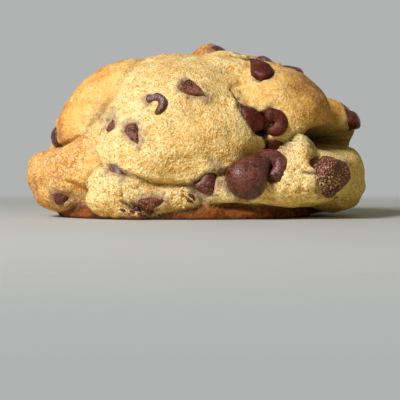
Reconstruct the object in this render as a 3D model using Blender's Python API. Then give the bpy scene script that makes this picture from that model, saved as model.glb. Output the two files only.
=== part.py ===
"""Thick chocolate chip cookie: one mound of soft dough, folded over on itself, with chocolate chips baked in.

Frame: +X to the right of the shown side, +Y to the back, +Z up. The cookie rests on its flat base at z = 0,
centred over the origin. Dimensions are in millimetres and become metres when a mesh is made.
"""

import math
from typing import NamedTuple

import bpy
import bmesh
import numpy as np

MM = 0.001

# The dough is a pile of folds. Each fold is a smooth union of lobes, and a lobe is a rounded block given by
# its centre, half sizes, turns about X, Y and Z in degrees, and squareness: 2 is an ellipsoid, more is boxier.
# The first number of a fold is how softly its lobes run together.
FOLDS = {
    "core": (1.5, {
        "slab": ((1, 3, 8.5), (38.5, 35.0, 8.8), (0, 0, 0), 2.4),
        "foot": ((-3, 0, 1.0), (33.5, 35.4, 3.6), (0, 0, 0), 2.6)}),
    "left_low": (1.6, {
        "body": ((-29.6, -12, 10.2), (12.6, 17, 7.4), (0, 6, 0), 2.2),
        "bridge": ((-23.5, -20, 13.6), (10, 11, 6.6), (0, 14, 0), 2.0),
        "under": ((-32.6, -12, 4.8), (8.3, 13, 4.0), (0, 10, 0), 2),
        "tip": ((-40.2, -13, 13.9), (2.8, 4.5, 2.1), (0, 0, 0), 2),
        "bulge": ((-40.1, -10, 9.6), (3.2, 6, 3.6), (0, 0, 0), 2),
        "back": ((-33.0, 3, 16.5), (7, 12, 6.5), (0, 0, 0), 2)}),
    "right_low": (1.2, {
        "body": ((25, -17, 9.7), (15, 20.5, 7.4), (0, -6, 0), 2.5),
        "end": ((35.4, -8, 10.2), (8.9, 16, 8.8), (0, 0, 0), 2.6),
        "thin_end": ((8.5, -27.6, 8.0), (14, 9.2, 5.0), (0, -3, 0), 2.4),
        "nub": ((26.0, -30.2, 17.0), (2.9, 4.4, 4.2), (0, 0, 0), 2)}),
    "front_low": (2.2, {
        "left": ((-19.2, -28.2, 6.4), (8.4, 9.0, 6.7), (0, 6, 0), 2.3),
        "middle": ((-7.2, -27.7, 4.6), (12.6, 9.0, 5.2), (0, -3, 0), 2.4)}),
    "apron": (3.0, {
        "dome": ((-3, 1, 23.8), (30, 31, 18.9), (0, 0, 0), 2),
        "drape": ((-3.5, -14.5, 23.5), (18, 20.5, 15.5), (0, 8, 0), 2.3),
        "hem": ((-6.0, -27, 15.6), (15.5, 10.8, 8.0), (0, -6, 0), 2.3),
        "hem_left": ((-17.0, -22, 17.5), (9, 10, 7.0), (0, 20, 0), 2),
        "hem_right": ((7.5, -25.0, 18.5), (9, 10, 7.0), (0, -28, 0), 2)}),
    "left_shoulder": (1.5, {
        "body": ((-23.0, -9, 28.6), (16.0, 17, 9.6), (0, -41, 0), 2)}),
    "ridge": (1.5, {
        "body": ((8.5, -11, 37.6), (11.5, 11.5, 5.2), (0, 3, 0), 2)}),
    "right_shoulder": (1.5, {
        "body": ((21.0, -14, 28.0), (14.5, 18, 11.0), (0, 24, 0), 2.1),
        "under": ((22.0, -16, 24.0), (11, 15, 8.0), (0, 20, 0), 2.1)}),
    "right_knob": (1.5, {
        "body": ((35.3, 2, 23.5), (7.8, 9, 8.2), (0, 0, 0), 2)}),
    "back_crown": (1.5, {
        "body": ((14.5, 8, 36.4), (14, 13, 7.2), (0, 8, 0), 2),
        "nub": ((3.6, 4, 43.0), (4.2, 5, 3.2), (0, 0, 0), 2)}),
    "rear_left": (1.5, {
        "body": ((-15, 18, 24.5), (16, 14, 12), (12, -14, 28), 2.1)}),
    "rear_right": (1.5, {
        "body": ((16, 20, 22), (15.5, 13, 12), (10, 16, -26), 2.1)}),
    "rear_low": (1.0, {
        "left": ((-20, 19, 9.0), (15.5, 15, 8.4), (0, 0, 30), 2.1),
        "middle": ((3, 28.5, 7.6), (14, 10.5, 7.4), (0, 0, 0), 2.2),
        "right": ((24, 16.5, 9.6), (14, 15, 8.8), (0, 0, -30), 2.1)}),
}
FOLD_BLEND = 0.8  # how softly two folds meet, small for a crisp crease
WAVE_HEIGHT = 0.25  # shallow unevenness of the whole surface
WAVE_TURNS = ((0.46, 0.21, 0.33), (-0.25, 0.52, 0.38), (0.31, -0.27, 0.58))  # radians per mm, one wave a row

# The mesh of the dough: rays start on an inner disc and run outwards, so that none of them cross.
RAY_DISC = (25.0, 20.0)  # half sizes of the disc
RAY_DISC_HEIGHT = 20.0
RAY_REACH = 42.0  # longer than any ray inside the dough
RAY_STEP = 0.35
DOUGH_SUBDIVISIONS = 6
DOUGH_KEPT = 0.185  # part of the triangles kept, most of them along the creases

GAP = 0.3  # between a chip and the dough round it
PRESS_BLEND = 0.35  # how softly a chip's flattened side runs into its round side
BASE_LENGTH = 0.55  # from a chip's base to its widest ring, as a part of its radius
TAILED_BASE_LENGTH = 0.88  # the same of a chip with a curled tip, which slumped rounder
NECK_LENGTH = 2.6  # from the widest ring to a thin tip, as a part of the radius


class Chip(NamedTuple):
    """One chip. It sits where a line, looked along from one side at two coordinates, meets the dough."""
    side: str
    at: tuple  # (x, z) from the front or back, (y, z) from the left or right, (x, y) from the top
    radius: float
    length: float
    proud: float  # how far its widest ring's centre stands out of the dough, less than 0 when sunk
    lean: float = 0.0  # degrees between its tip and the straight way out of the dough
    clock: float = 0.0  # degrees clockwise from up, the way it leans
    twist: float = 0.0  # degrees about its own axis, the way its tip curls
    curl: float = 20.0  # degrees that its tip is bent over
    tail: float = 0.0  # thickness of a curled tip, as a part of the radius
    stands: float = 0.45  # how far the flattened side of the chip stands out of the dough


CHIPS = {
    "chip_front": Chip("front", (12.2, 9.9), 5.3, 22.0, 0.2, 88, 42, 90, 250, 0.43, 5.0),
    "chip_shoulder": Chip("front", (14.9, 24.0), 3.4, 8.0, -1.2, 80, -42, 0, 20, 0.0, 1.0),
    "chip_shoulder_curl": Chip("front", (18.9, 25.8), 2.1, 9.4, -0.6, 90, 92, 90, 225, 0.9, 1.3),
    "chip_right": Chip("front", (34.2, 10.6), 5.2, 8.6, -1.6, 150, 20, 0, 20, 0.0, 2.2),
    "chip_ridge": Chip("front", (17.0, 36.6), 2.8, 7.8, -0.7, 60, -38, 0, 30, 0.0, 1.5),
    "chip_top": Chip("front", (5.8, 45.0), 2.6, 6.0, -2.0, 70, 75, 0, 20, 0.0, 0.6),
    "chip_crest_arc": Chip("top", (11.4, -13.0), 3.4, 6.4, -2.9, 80, -80),
    "chip_crest": Chip("top", (19.2, 3.6), 3.0, 6.2, -2.0, 70, 90, 0, 20, 0.0, 0.9),
    "chip_slope": Chip("top", (25.2, -12.5), 4.0, 7.6, -2.3, 84, 100, 0, 20, 0.0, 1.2),
    "chip_far_right": Chip("right", (-2.0, 25.2), 3.2, 6.2, -1.0, 80, 10, 0, 20, 0.0, 1.9),
    "chip_crescent": Chip("front", (-11.4, 29.9), 1.35, 9.0, -0.45, 90, 62, 90, 190, 0.85, 0.6),
    "chip_centre": Chip("front", (-2.3, 32.9), 2.1, 9.6, -0.2, 76, 128, 0, 10, 0.0, 0.8),
    "chip_left": Chip("front", (-15.9, 22.4), 1.9, 6.8, -0.2, 84, 150, 0, 10, 0.0, 0.8),
    "chip_covered": Chip("front", (-21.4, 22.6), 1.25, 8.2, -0.1, 80, -4, 0, 10, 0.0, 0.6),
    "chip_far_left": Chip("left", (-8.0, 20.6), 3.6, 6.6, -0.7, 85, 20, 0, 20, 0.0, 2.5),
    "chip_low_left": Chip("front", (-34.9, 4.9), 2.4, 5.0, -1.6, 88, 95, 0, 20, 0.0, 0.35),
    "chip_seam_left": Chip("front", (-20.4, 12.6), 1.9, 5.2, -1.3, 88, 125, 0, 20, 0.0, 0.35),
    "chip_hem": Chip("front", (2.2, 7.9), 2.9, 8.0, -1.5, 86, 22, 0, 20, 0.0, 0.6),
    "chip_low_middle": Chip("front", (-12.6, 3.6), 1.9, 6.4, -0.6, 86, 74, 0, 10, 0.0, 0.6),
    "chip_seam_right": Chip("front", (19.6, 18.2), 2.6, 6.2, -1.0, 84, 70, 0, 20, 0.0, 0.9),
    "chip_top_left": Chip("top", (-13.5, 9.0), 4.2, 7.6, -2.9, 80, 210, 0, 20, 0.0, 0.5),
    "chip_top_back": Chip("top", (-2.5, 17.5), 4.4, 7.8, -2.4, 150, 80, 0, 20, 0.0, 1.2),
    "chip_top_right": Chip("top", (17.5, 17.0), 4.0, 7.4, -2.6, 80, 320, 0, 20, 0.0, 0.6),
    "chip_left_side": Chip("left", (6.0, 12.5), 4.1, 7.2, -2.8, 84, 120),
    "chip_left_back": Chip("left", (16.0, 24.0), 4.3, 7.6, -2.2, 82, 60, 0, 20, 0.0, 1.4),
    "chip_right_side": Chip("right", (10.0, 11.0), 4.4, 7.6, -2.3, 140, 200, 0, 20, 0.0, 1.6),
    "chip_back_left": Chip("back", (-14.0, 27.0), 4.5, 8.0, -2.4, 84, 230, 0, 20, 0.0, 1.0),
    "chip_back_low": Chip("back", (-6.0, 9.5), 4.3, 7.6, -2.5, 130, 140, 0, 20, 0.0, 1.4),
    "chip_back_right": Chip("back", (17.5, 22.0), 4.2, 7.4, -2.8, 84, 300),
    "chip_back_seam": Chip("back", (5.0, 18.0), 3.6, 7.0, -2.2, 84, 20, 0, 20, 0.0, 0.9),
    "chip_back_far": Chip("back", (26.0, 10.5), 4.2, 7.2, -2.7, 84, 70),
}

# Open hollows beside the chips, as flattened balls: centre, half sizes and turns.
HOLLOWS = (
    ((18.9, -37, 11.7), (2.0, 6.0, 2.7), (0, 0, 0)),  # inside the curl of the front chip
    ((17.2, -32.5, 23.6), (3.0, 7.5, 3.2), (0, 0, 0)),  # between the two halves of the shoulder chip
    ((30.0, -34, 14.4), (2.4, 4.0, 1.7), (0, -38, 0)),  # over the left edge of the right chip
    ((38.8, -30, 11.6), (1.3, 4.2, 3.4), (0, 0, 0)),  # beside the right chip
)

# The deep fold between the right shoulder and the fold under it, as two flattened balls.
DEEP_FOLD = (
    ((33.0, -19, 20.9), (8.5, 14.0, 3.0), (0, 6, 0)),
    ((35.0, -6, 21.0), (8.0, 14.0, 2.8), (0, 3, 0)),
)

CHOCOLATE_COLOUR = (0.085, 0.032, 0.022, 1.0)
DOUGH_COLOUR = (0.62, 0.40, 0.17, 1.0)


def clear_scene():
    """Remove every object the file starts with."""
    for item in list(bpy.data.objects):
        bpy.data.objects.remove(item, do_unlink=True)


def make_material(name, colour, roughness):
    """One plain Principled material."""
    material = bpy.data.materials.new(name)
    material.use_nodes = True
    shader = material.node_tree.nodes["Principled BSDF"]
    shader.inputs["Base Color"].default_value = colour
    shader.inputs["Roughness"].default_value = roughness
    shader.inputs["Metallic"].default_value = 0.0
    return material


def turn_matrix(about_x, about_y, about_z):
    """Rotation matrix for turns about X, then Y, then Z, in degrees."""
    a, b, c = np.radians((about_x, about_y, about_z))
    x_turn = np.array([[1, 0, 0], [0, np.cos(a), -np.sin(a)], [0, np.sin(a), np.cos(a)]])
    y_turn = np.array([[np.cos(b), 0, np.sin(b)], [0, 1, 0], [-np.sin(b), 0, np.cos(b)]])
    z_turn = np.array([[np.cos(c), -np.sin(c), 0], [np.sin(c), np.cos(c), 0], [0, 0, 1]])
    return z_turn @ y_turn @ x_turn


def lobe_distance(points, centre, half_sizes, turns, power):
    """Nearly the distance from points to one lobe, less than 0 inside it."""
    local = np.abs((points - np.array(centre)) @ turn_matrix(*turns)) + 1e-6
    sizes = np.array(half_sizes, dtype=float)
    level = np.sum((local / sizes) ** power, axis=-1) ** (1 / power)
    slope = level ** (1 - power) * np.sqrt(np.sum((local ** (power - 1) / sizes**power) ** 2, axis=-1))
    return (level - 1) / slope


def smooth_union(distances, blend):
    """Join shapes given by their distances, with a fillet of about the size of blend."""
    stack = np.stack(distances)
    lowest = stack.min(axis=0)
    return lowest - blend * np.log(np.exp(-(stack - lowest) / blend).sum(axis=0))


def waves(points):
    """Shallow unevenness: the product of three sine waves."""
    phases = points @ np.array(WAVE_TURNS).T
    return WAVE_HEIGHT * np.prod(np.sin(phases + np.arange(3)), axis=-1) * 2


def dough_distance(points):
    """Nearly the distance from points to the dough's surface, less than 0 inside it."""
    folds = []
    for blend, lobes in FOLDS.values():
        folds.append(smooth_union([lobe_distance(points, *lobe) for lobe in lobes.values()], blend))
    return smooth_union(folds, FOLD_BLEND) - waves(points)


def open_distance(points):
    """The same for the dough with its deep fold taken out."""
    return np.max([dough_distance(points)] + [-lobe_distance(points, *gap, 2) for gap in DEEP_FOLD], axis=0)


def outermost_hit(starts, ways, reach, step):
    """Distance along each ray to the last place where it leaves the dough."""
    along = np.arange(reach, 0, -step)
    points = starts[:, None, :] + ways[:, None, :] * along[None, :, None]
    inside = open_distance(points) < 0
    first = inside.argmax(axis=1)
    low = along[first]
    high = low + step
    for _ in range(10):
        middle = (low + high) / 2
        is_inside = open_distance(starts + ways * middle[:, None]) < 0
        low = np.where(is_inside, middle, low)
        high = np.where(is_inside, high, middle)
    return low


def add_object(name, vertices, faces, material):
    """A smooth-shaded mesh object from points in millimetres."""
    mesh = bpy.data.meshes.new(name)
    mesh.from_pydata((np.asarray(vertices) * MM).tolist(), [], faces)
    mesh.materials.append(material)
    mesh.shade_smooth()
    item = bpy.data.objects.new(name, mesh)
    bpy.context.collection.objects.link(item)
    return item


def add_dough(material):
    """The mound: the corners of an icosphere, moved out along the rays to the folds, then thinned out."""
    ball = bmesh.new()
    bmesh.ops.create_icosphere(ball, subdivisions=DOUGH_SUBDIVISIONS, radius=1.0)
    ways = np.array([vertex.co for vertex in ball.verts])
    faces = [[vertex.index for vertex in face.verts] for face in ball.faces]
    ball.free()
    ways /= np.linalg.norm(ways, axis=1, keepdims=True)
    starts = ways * (*RAY_DISC, 0.0) + (0.0, 0.0, RAY_DISC_HEIGHT)
    reach = outermost_hit(starts, ways, RAY_REACH, RAY_STEP)
    item = add_object("dough", starts + ways * reach[:, None], faces, material)
    item.modifiers.new("thinned", 'DECIMATE').ratio = DOUGH_KEPT
    return item


def chip_lengths(chip):
    """How far along a chip its widest ring, the end of its neck and the start of its curl are."""
    widest = (TAILED_BASE_LENGTH if chip.tail else BASE_LENGTH) * chip.radius
    neck = widest + min(NECK_LENGTH * chip.radius * (1 - chip.tail), chip.length - widest)
    return widest, neck, 0.15 * widest + 0.85 * neck if chip.tail else widest


def ring_radius(chip, along):
    """Radius of a chip at a length along it: a rounded flat base, a belly, and a tip or a thick tail."""
    widest, neck, _ = chip_lengths(chip)
    if along < widest:
        flatness = 2.0 if chip.tail else 2.6
        return chip.radius * (1 - (1 - along / widest) ** flatness) ** (1 / flatness)
    fall = math.cos(math.pi / 2 * min((along - widest) / (neck - widest), 1.0)) ** (1.5 if chip.tail else 1.1)
    end = ((along - widest) / (chip.length - widest)) ** 6
    return chip.radius * ((1 - chip.tail) * fall + chip.tail) * math.sqrt(1 - end)


def chip_points(chip, grow, rings, sides):
    """Points of a chip about its own belly, swept along an axis whose tip curls over, and grown all round."""
    steps = 200
    widest, _, curl_start = chip_lengths(chip)
    along = (np.arange(steps) + 0.5) / steps * chip.length
    bend = math.radians(chip.curl) * np.clip((along - curl_start) / (chip.length - curl_start), 0, 1)
    moves = np.stack([np.sin(bend), np.zeros(steps), np.cos(bend)], axis=1) * chip.length / steps
    axis = np.vstack([np.zeros(3), np.cumsum(moves, axis=0)])
    axis -= axis[round(widest / chip.length * steps)]
    points = [axis[0] - (0, 0, grow)]
    for ring in range(rings):
        part = (1 - math.cos(math.pi * (ring + 0.8) / (rings + 0.6))) / 2
        step = min(round(part * steps), steps - 1)
        across = np.array([math.cos(bend[step]), 0, -math.sin(bend[step])])
        size = ring_radius(chip, part * chip.length) + grow
        for side in range(sides):
            turn = 2 * math.pi * side / sides
            points.append(axis[step] + size * (math.cos(turn) * across + math.sin(turn) * np.array([0, 1, 0])))
    points.append(axis[-1] + grow * np.array([math.sin(bend[-1]), 0, math.cos(bend[-1])]))
    return np.array(points)


def chip_faces(rings, sides):
    """Faces that close the points of a chip: a fan, bands between rings, and a fan."""
    faces = []
    for side in range(sides):
        after = (side + 1) % sides
        faces.append((0, 1 + after, 1 + side))
        for ring in range(rings - 1):
            low = 1 + ring * sides
            faces.append((low + side, low + after, low + sides + after, low + sides + side))
        last = 1 + (rings - 1) * sides
        faces.append((last + side, last + after, last + sides))
    return faces


def seat(chip):
    """Where a chip's line meets the dough, and the dough's outward direction there."""
    a, b = chip.at
    starts = {"front": (a, -60, b), "back": (a, 60, b), "left": (-60, a, b), "right": (60, a, b), "top": (a, b, 60)}
    ways = {"front": (0, 1, 0), "back": (0, -1, 0), "left": (1, 0, 0), "right": (-1, 0, 0), "top": (0, 0, -1)}
    start = np.array(starts[chip.side], dtype=float)
    way = np.array(ways[chip.side], dtype=float)
    along = np.arange(0, 70, 0.05)
    inside = dough_distance(start + way * along[:, None]) < 0
    place = start + way * along[inside.argmax()]
    probes = np.eye(3) * 0.8
    outward = dough_distance(place + probes) - dough_distance(place - probes)
    return place, outward / np.linalg.norm(outward)


def chip_frame(chip):
    """The chip's own X (the way its tip curls), Y and Z (its axis) as columns, with its place."""
    place, outward = seat(chip)
    up = np.array([0.0, 1.0, 0.0]) if outward[2] > 0.93 else np.array([0.0, 0.0, 1.0])
    up -= outward * (up @ outward)
    up /= np.linalg.norm(up)
    right = np.cross(up, outward)
    lean, clock, twist = np.radians((chip.lean, chip.clock, chip.twist))
    along = np.cos(clock) * up + np.sin(clock) * right
    axis = np.cos(lean) * outward + np.sin(lean) * along
    away = np.cos(lean) * along - np.sin(lean) * outward
    around = np.cos(clock) * right - np.sin(clock) * up
    curl_way = np.cos(twist) * away + np.sin(twist) * around
    columns = np.stack([curl_way, np.cross(axis, curl_way), axis], axis=1)
    return columns, place + outward * chip.proud


def pressed(points, chip, grow):
    """Flatten what stands out of the dough by more than the chip's height there: a smooth least, PRESS_BLEND soft."""
    place, outward = seat(chip)
    height = (points - place) @ outward
    kept = chip.stands + grow - PRESS_BLEND * np.logaddexp(0, (chip.stands + grow - height) / PRESS_BLEND)
    return points + (kept - height)[:, None] * outward


def add_chips(material):
    """Every chip as its own object, and the points and faces of one cutter for all their pockets."""
    pocket_points = []
    pocket_faces = []
    for name, chip in CHIPS.items():
        rings, sides = (11, 9) if chip.tail else (4, 8)
        columns, place = chip_frame(chip)
        faces = chip_faces(rings, sides)
        body, pocket = (pressed(chip_points(chip, grow, rings, sides) @ columns.T + place, chip, grow)
                        for grow in (0.0, GAP))
        add_object(name, body, faces, material)
        first = sum(len(points) for points in pocket_points)
        pocket_points.append(pocket)
        pocket_faces += [[first + corner for corner in face] for face in faces]
    return np.vstack(pocket_points), pocket_faces


def hollow_balls():
    """Points and faces of the balls that open the hollows beside the chips."""
    points = []
    faces = []
    for centre, half_sizes, turns in HOLLOWS:
        shape = bmesh.new()
        bmesh.ops.create_uvsphere(shape, u_segments=10, v_segments=6, radius=1.0)
        shape.verts.index_update()
        columns = turn_matrix(*turns) * half_sizes
        first = len(points)
        points += [columns @ np.array(vertex.co) + centre for vertex in shape.verts]
        faces += [[first + vertex.index for vertex in face.verts] for face in shape.faces]
        shape.free()
    return points, faces


def add_table():
    """A block under z = 0 that cuts the base flat."""
    x, y, z = 60, 60, 20
    points = [(sx * x, sy * y, sz * z) for sz in (-1, 0) for sy in (-1, 1) for sx in (-1, 1)]
    faces = [(0, 2, 3, 1), (4, 5, 7, 6), (0, 1, 5, 4), (2, 6, 7, 3), (0, 4, 6, 2), (1, 3, 7, 5)]
    mesh = bpy.data.meshes.new("table_cutter")
    mesh.from_pydata((np.array(points) * MM).tolist(), [], faces)
    item = bpy.data.objects.new("table_cutter", mesh)
    bpy.context.collection.objects.link(item)
    return item


def cut(target, cutter):
    """Take the cutter away from the target with an exact Boolean."""
    cutter.hide_render = True
    cutter.display_type = 'WIRE'
    modifier = target.modifiers.new(cutter.name, 'BOOLEAN')
    modifier.operation = 'DIFFERENCE'
    modifier.solver = 'EXACT'
    modifier.use_self = True
    modifier.object = cutter


def centre_over_origin():
    """Slide everything so that the middle of the whole cookie's width and depth is over the origin."""
    corners = [np.array(vertex.co) for item in bpy.data.objects if not item.hide_render
               for vertex in item.data.vertices]
    middle = (np.min(corners, axis=0) + np.max(corners, axis=0)) / 2
    for item in bpy.data.objects:
        item.location.x -= middle[0]
        item.location.y -= middle[1]


clear_scene()
chocolate = make_material("chocolate", CHOCOLATE_COLOUR, 0.42)
baked_dough = make_material("baked_dough", DOUGH_COLOUR, 0.75)
dough = add_dough(baked_dough)
pocket_points, pocket_faces = add_chips(chocolate)
cut(dough, add_table())
hollow_points, hollow_faces = hollow_balls()
pocket_faces += [[len(pocket_points) + corner for corner in face] for face in hollow_faces]
cut(dough, add_object("pocket_cutter", np.vstack([pocket_points, hollow_points]), pocket_faces, chocolate))
centre_over_origin()
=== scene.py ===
"""Thick chocolate chip cookie: the finished look of the dough, its chips, crumbs and melted flecks.

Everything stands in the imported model's frame: +X right of the shown side, +Y to the back, +Z up, in metres.
Shapes are worked out in millimetres and become metres when a mesh is made.
"""

from typing import NamedTuple

import bpy
import numpy as np
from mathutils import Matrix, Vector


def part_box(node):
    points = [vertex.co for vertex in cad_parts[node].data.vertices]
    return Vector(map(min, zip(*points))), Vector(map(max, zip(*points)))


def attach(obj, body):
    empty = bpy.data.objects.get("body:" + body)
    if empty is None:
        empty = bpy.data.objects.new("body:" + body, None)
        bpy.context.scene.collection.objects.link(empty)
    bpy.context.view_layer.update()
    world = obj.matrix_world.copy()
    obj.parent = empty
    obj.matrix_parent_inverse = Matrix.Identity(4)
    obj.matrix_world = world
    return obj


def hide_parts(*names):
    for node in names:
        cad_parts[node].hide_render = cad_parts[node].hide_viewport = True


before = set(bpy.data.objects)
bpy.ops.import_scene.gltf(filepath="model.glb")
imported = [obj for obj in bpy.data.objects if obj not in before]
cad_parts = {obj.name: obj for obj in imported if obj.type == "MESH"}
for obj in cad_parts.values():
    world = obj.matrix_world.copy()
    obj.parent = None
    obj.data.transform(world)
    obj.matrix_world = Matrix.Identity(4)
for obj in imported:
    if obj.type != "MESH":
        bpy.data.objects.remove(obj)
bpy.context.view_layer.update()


# ---------------------------------------------------------------------------------------------------------
# The mound of dough. It was scooped in rough lumps that slumped and folded over each other in the oven, so
# it is a pile of rounded folds with creases between them, golden on top, pale in the folds, brown beneath.
# ---------------------------------------------------------------------------------------------------------

MM = 0.001

# Each fold is a smooth union of lobes. A lobe is its centre, half sizes, turns about X, Y and Z in degrees,
# and squareness: 2 is an ellipsoid, more is boxier. A fold's numbers are how softly its lobes run together,
# how well it is baked and how crumbly it is.
FOLDS = {
    "core": (1.5, 0.75, 0.3, {
        "slab": ((1, 3, 8.5), (38.5, 35.0, 8.8), (0, 0, 0), 2.4),
        "foot": ((-3, 0, 1.0), (33.5, 35.4, 3.6), (0, 0, 0), 2.6)}),
    "left_low": (1.6, 0.66, 0.25, {
        "body": ((-29.6, -12, 10.2), (12.6, 17, 7.4), (0, 6, 0), 2.2),
        "bridge": ((-23.5, -20, 13.6), (10, 11, 6.6), (0, 14, 0), 2.0),
        "under": ((-32.6, -12, 4.8), (8.3, 13, 4.0), (0, 10, 0), 2),
        "tip": ((-40.2, -13, 13.9), (2.8, 4.5, 2.1), (0, 0, 0), 2),
        "bulge": ((-40.1, -10, 9.6), (3.2, 6, 3.6), (0, 0, 0), 2),
        "back": ((-33.0, 3, 16.5), (7, 12, 6.5), (0, 0, 0), 2)}),
    "right_low": (1.2, 0.34, 0.75, {
        "body": ((25, -17, 9.7), (15, 20.5, 7.4), (0, -6, 0), 2.5),
        "end": ((35.4, -8, 10.2), (8.9, 16, 8.8), (0, 0, 0), 2.6),
        "thin_end": ((8.5, -27.6, 8.0), (14, 9.2, 5.0), (0, -3, 0), 2.4),
        "nub": ((26.0, -30.2, 17.0), (2.9, 4.4, 4.2), (0, 0, 0), 2)}),
    "front_low": (2.2, 0.34, 0.8, {
        "left": ((-19.2, -28.2, 6.4), (8.4, 9.0, 6.7), (0, 6, 0), 2.3),
        "middle": ((-7.2, -27.7, 4.6), (12.6, 9.0, 5.2), (0, -3, 0), 2.4)}),
    "apron": (3.0, 0.38, 0.35, {
        "dome": ((-3, 1, 23.8), (30, 31, 18.9), (0, 0, 0), 2),
        "drape": ((-3.5, -14.5, 23.5), (18, 20.5, 15.5), (0, 8, 0), 2.3),
        "hem": ((-6.0, -27, 15.6), (15.5, 10.8, 8.0), (0, -6, 0), 2.3),
        "hem_left": ((-17.0, -22, 17.5), (9, 10, 7.0), (0, 20, 0), 2),
        "hem_right": ((7.5, -25.0, 18.5), (9, 10, 7.0), (0, -28, 0), 2)}),
    "left_shoulder": (1.5, 0.54, 0.1, {
        "body": ((-23.0, -9, 28.6), (16.0, 17, 9.6), (0, -41, 0), 2)}),
    "ridge": (1.5, 0.4, 0.2, {
        "body": ((8.5, -11, 37.6), (11.5, 11.5, 5.2), (0, 3, 0), 2)}),
    "right_shoulder": (1.5, 0.60, 0.15, {
        "body": ((21.0, -14, 28.0), (14.5, 18, 11.0), (0, 24, 0), 2.1),
        "under": ((22.0, -16, 24.0), (11, 15, 8.0), (0, 20, 0), 2.1)}),
    "right_knob": (1.5, 0.50, 0.1, {
        "body": ((35.3, 2, 23.5), (7.8, 9, 8.2), (0, 0, 0), 2)}),
    "back_crown": (1.5, 0.8, 0.15, {
        "body": ((14.5, 8, 36.4), (14, 13, 7.2), (0, 8, 0), 2),
        "nub": ((3.6, 4, 43.0), (4.2, 5, 3.2), (0, 0, 0), 2)}),
    "rear_left": (1.5, 0.5, 0.3, {
        "body": ((-15, 18, 24.5), (16, 14, 12), (12, -14, 28), 2.1)}),
    "rear_right": (1.5, 0.55, 0.25, {
        "body": ((16, 20, 22), (15.5, 13, 12), (10, 16, -26), 2.1)}),
    "rear_low": (1.0, 0.3, 0.6, {
        "left": ((-20, 19, 9.0), (15.5, 15, 8.4), (0, 0, 30), 2.1),
        "middle": ((3, 28.5, 7.6), (14, 10.5, 7.4), (0, 0, 0), 2.2),
        "right": ((24, 16.5, 9.6), (14, 15, 8.8), (0, 0, -30), 2.1)}),
}
FOLD_BLEND = 0.8
WAVE_HEIGHT = 0.25
WAVE_TURNS = ((0.46, 0.21, 0.33), (-0.25, 0.52, 0.38), (0.31, -0.27, 0.58))

# Open hollows taken out of the dough, as flattened balls: centre, half sizes and turns.
HOLLOWS = (
    ((18.9, -37, 11.7), (2.0, 6.0, 2.7), (0, 0, 0)),  # inside the curl of the front chip
    ((17.2, -32.5, 23.6), (3.0, 7.5, 3.2), (0, 0, 0)),  # between the two halves of the shoulder chip
    ((30.0, -34, 14.4), (2.4, 4.0, 1.7), (0, -38, 0)),  # over the left edge of the right chip
    ((38.8, -30, 11.6), (1.3, 4.2, 3.4), (0, 0, 0)),  # beside the right chip
    ((33.0, -19, 20.9), (8.5, 14.0, 3.0), (0, 6, 0)),  # the deep fold under the right shoulder
    ((35.0, -6, 21.0), (8.0, 14.0, 2.8), (0, 3, 0)),
)

# The rays that find the dough's surface start on a disc inside it and are walked in from outside.
RAY_REACH = 34.0
RAY_DISC = (25.0, 20.0)
RAY_DISC_HEIGHT = 20.0
COLUMNS = 420
SIDE_ROWS = 188
BASE_ROWS = 16
RIM_ANGLE = np.radians(137)  # the ray that meets the edge of the flat base
FRONT_CROWDING = 0.32  # how much closer together the columns are at the front
BASE_ROUNDING = 0.35


def turn_matrix(about_x, about_y, about_z):
    """Rotation matrix for turns about X, then Y, then Z, in degrees."""
    a, b, c = np.radians((about_x, about_y, about_z))
    x_turn = np.array([[1, 0, 0], [0, np.cos(a), -np.sin(a)], [0, np.sin(a), np.cos(a)]])
    y_turn = np.array([[np.cos(b), 0, np.sin(b)], [0, 1, 0], [-np.sin(b), 0, np.cos(b)]])
    z_turn = np.array([[np.cos(c), -np.sin(c), 0], [np.sin(c), np.cos(c), 0], [0, 0, 1]])
    return z_turn @ y_turn @ x_turn


def lobe_distance(points, centre, half_sizes, turns, power):
    """Nearly the distance to a lobe: its level, which is 1 on its surface, less 1 and over the level's slope."""
    local = np.abs((points - np.array(centre)) @ turn_matrix(*turns)) + 1e-6
    sizes = np.array(half_sizes, dtype=float)
    level = np.sum((local / sizes) ** power, axis=-1) ** (1 / power)
    slope = level ** (1 - power) * np.sqrt(np.sum((local ** (power - 1) / sizes**power) ** 2, axis=-1))
    return (level - 1) / slope


def smooth_union(distances, blend):
    """Join shapes: minus blend times the logarithm of the sum of exp(-distance / blend)."""
    stack = np.stack(distances)
    lowest = stack.min(axis=0)
    return lowest - blend * np.log(np.exp(-(stack - lowest) / blend).sum(axis=0))


def fold_distances(points):
    """Nearly the distance from points to each fold."""
    return np.stack([smooth_union([lobe_distance(points, *lobe) for lobe in lobes.values()], blend)
                     for blend, _, _, lobes in FOLDS.values()])


def waves(points):
    """Shallow unevenness: the product of three sine waves."""
    phases = points @ np.array(WAVE_TURNS).T
    return WAVE_HEIGHT * np.prod(np.sin(phases + np.arange(3)), axis=-1) * 2


def dough_distance(points):
    """Nearly the distance to the whole dough: its folds joined, its waves taken off."""
    return smooth_union(fold_distances(points), FOLD_BLEND) - waves(points)


def hollowed_distance(points):
    """The dough without its hollows and without what is under z = 0: the greatest of the distances."""
    parts = [-dough_distance(points), points[..., 2]]
    for centre, half_sizes, turns in HOLLOWS:
        parts.append(lobe_distance(points, centre, half_sizes, turns, 2))
    return -smooth_union(parts, BASE_ROUNDING)


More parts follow.
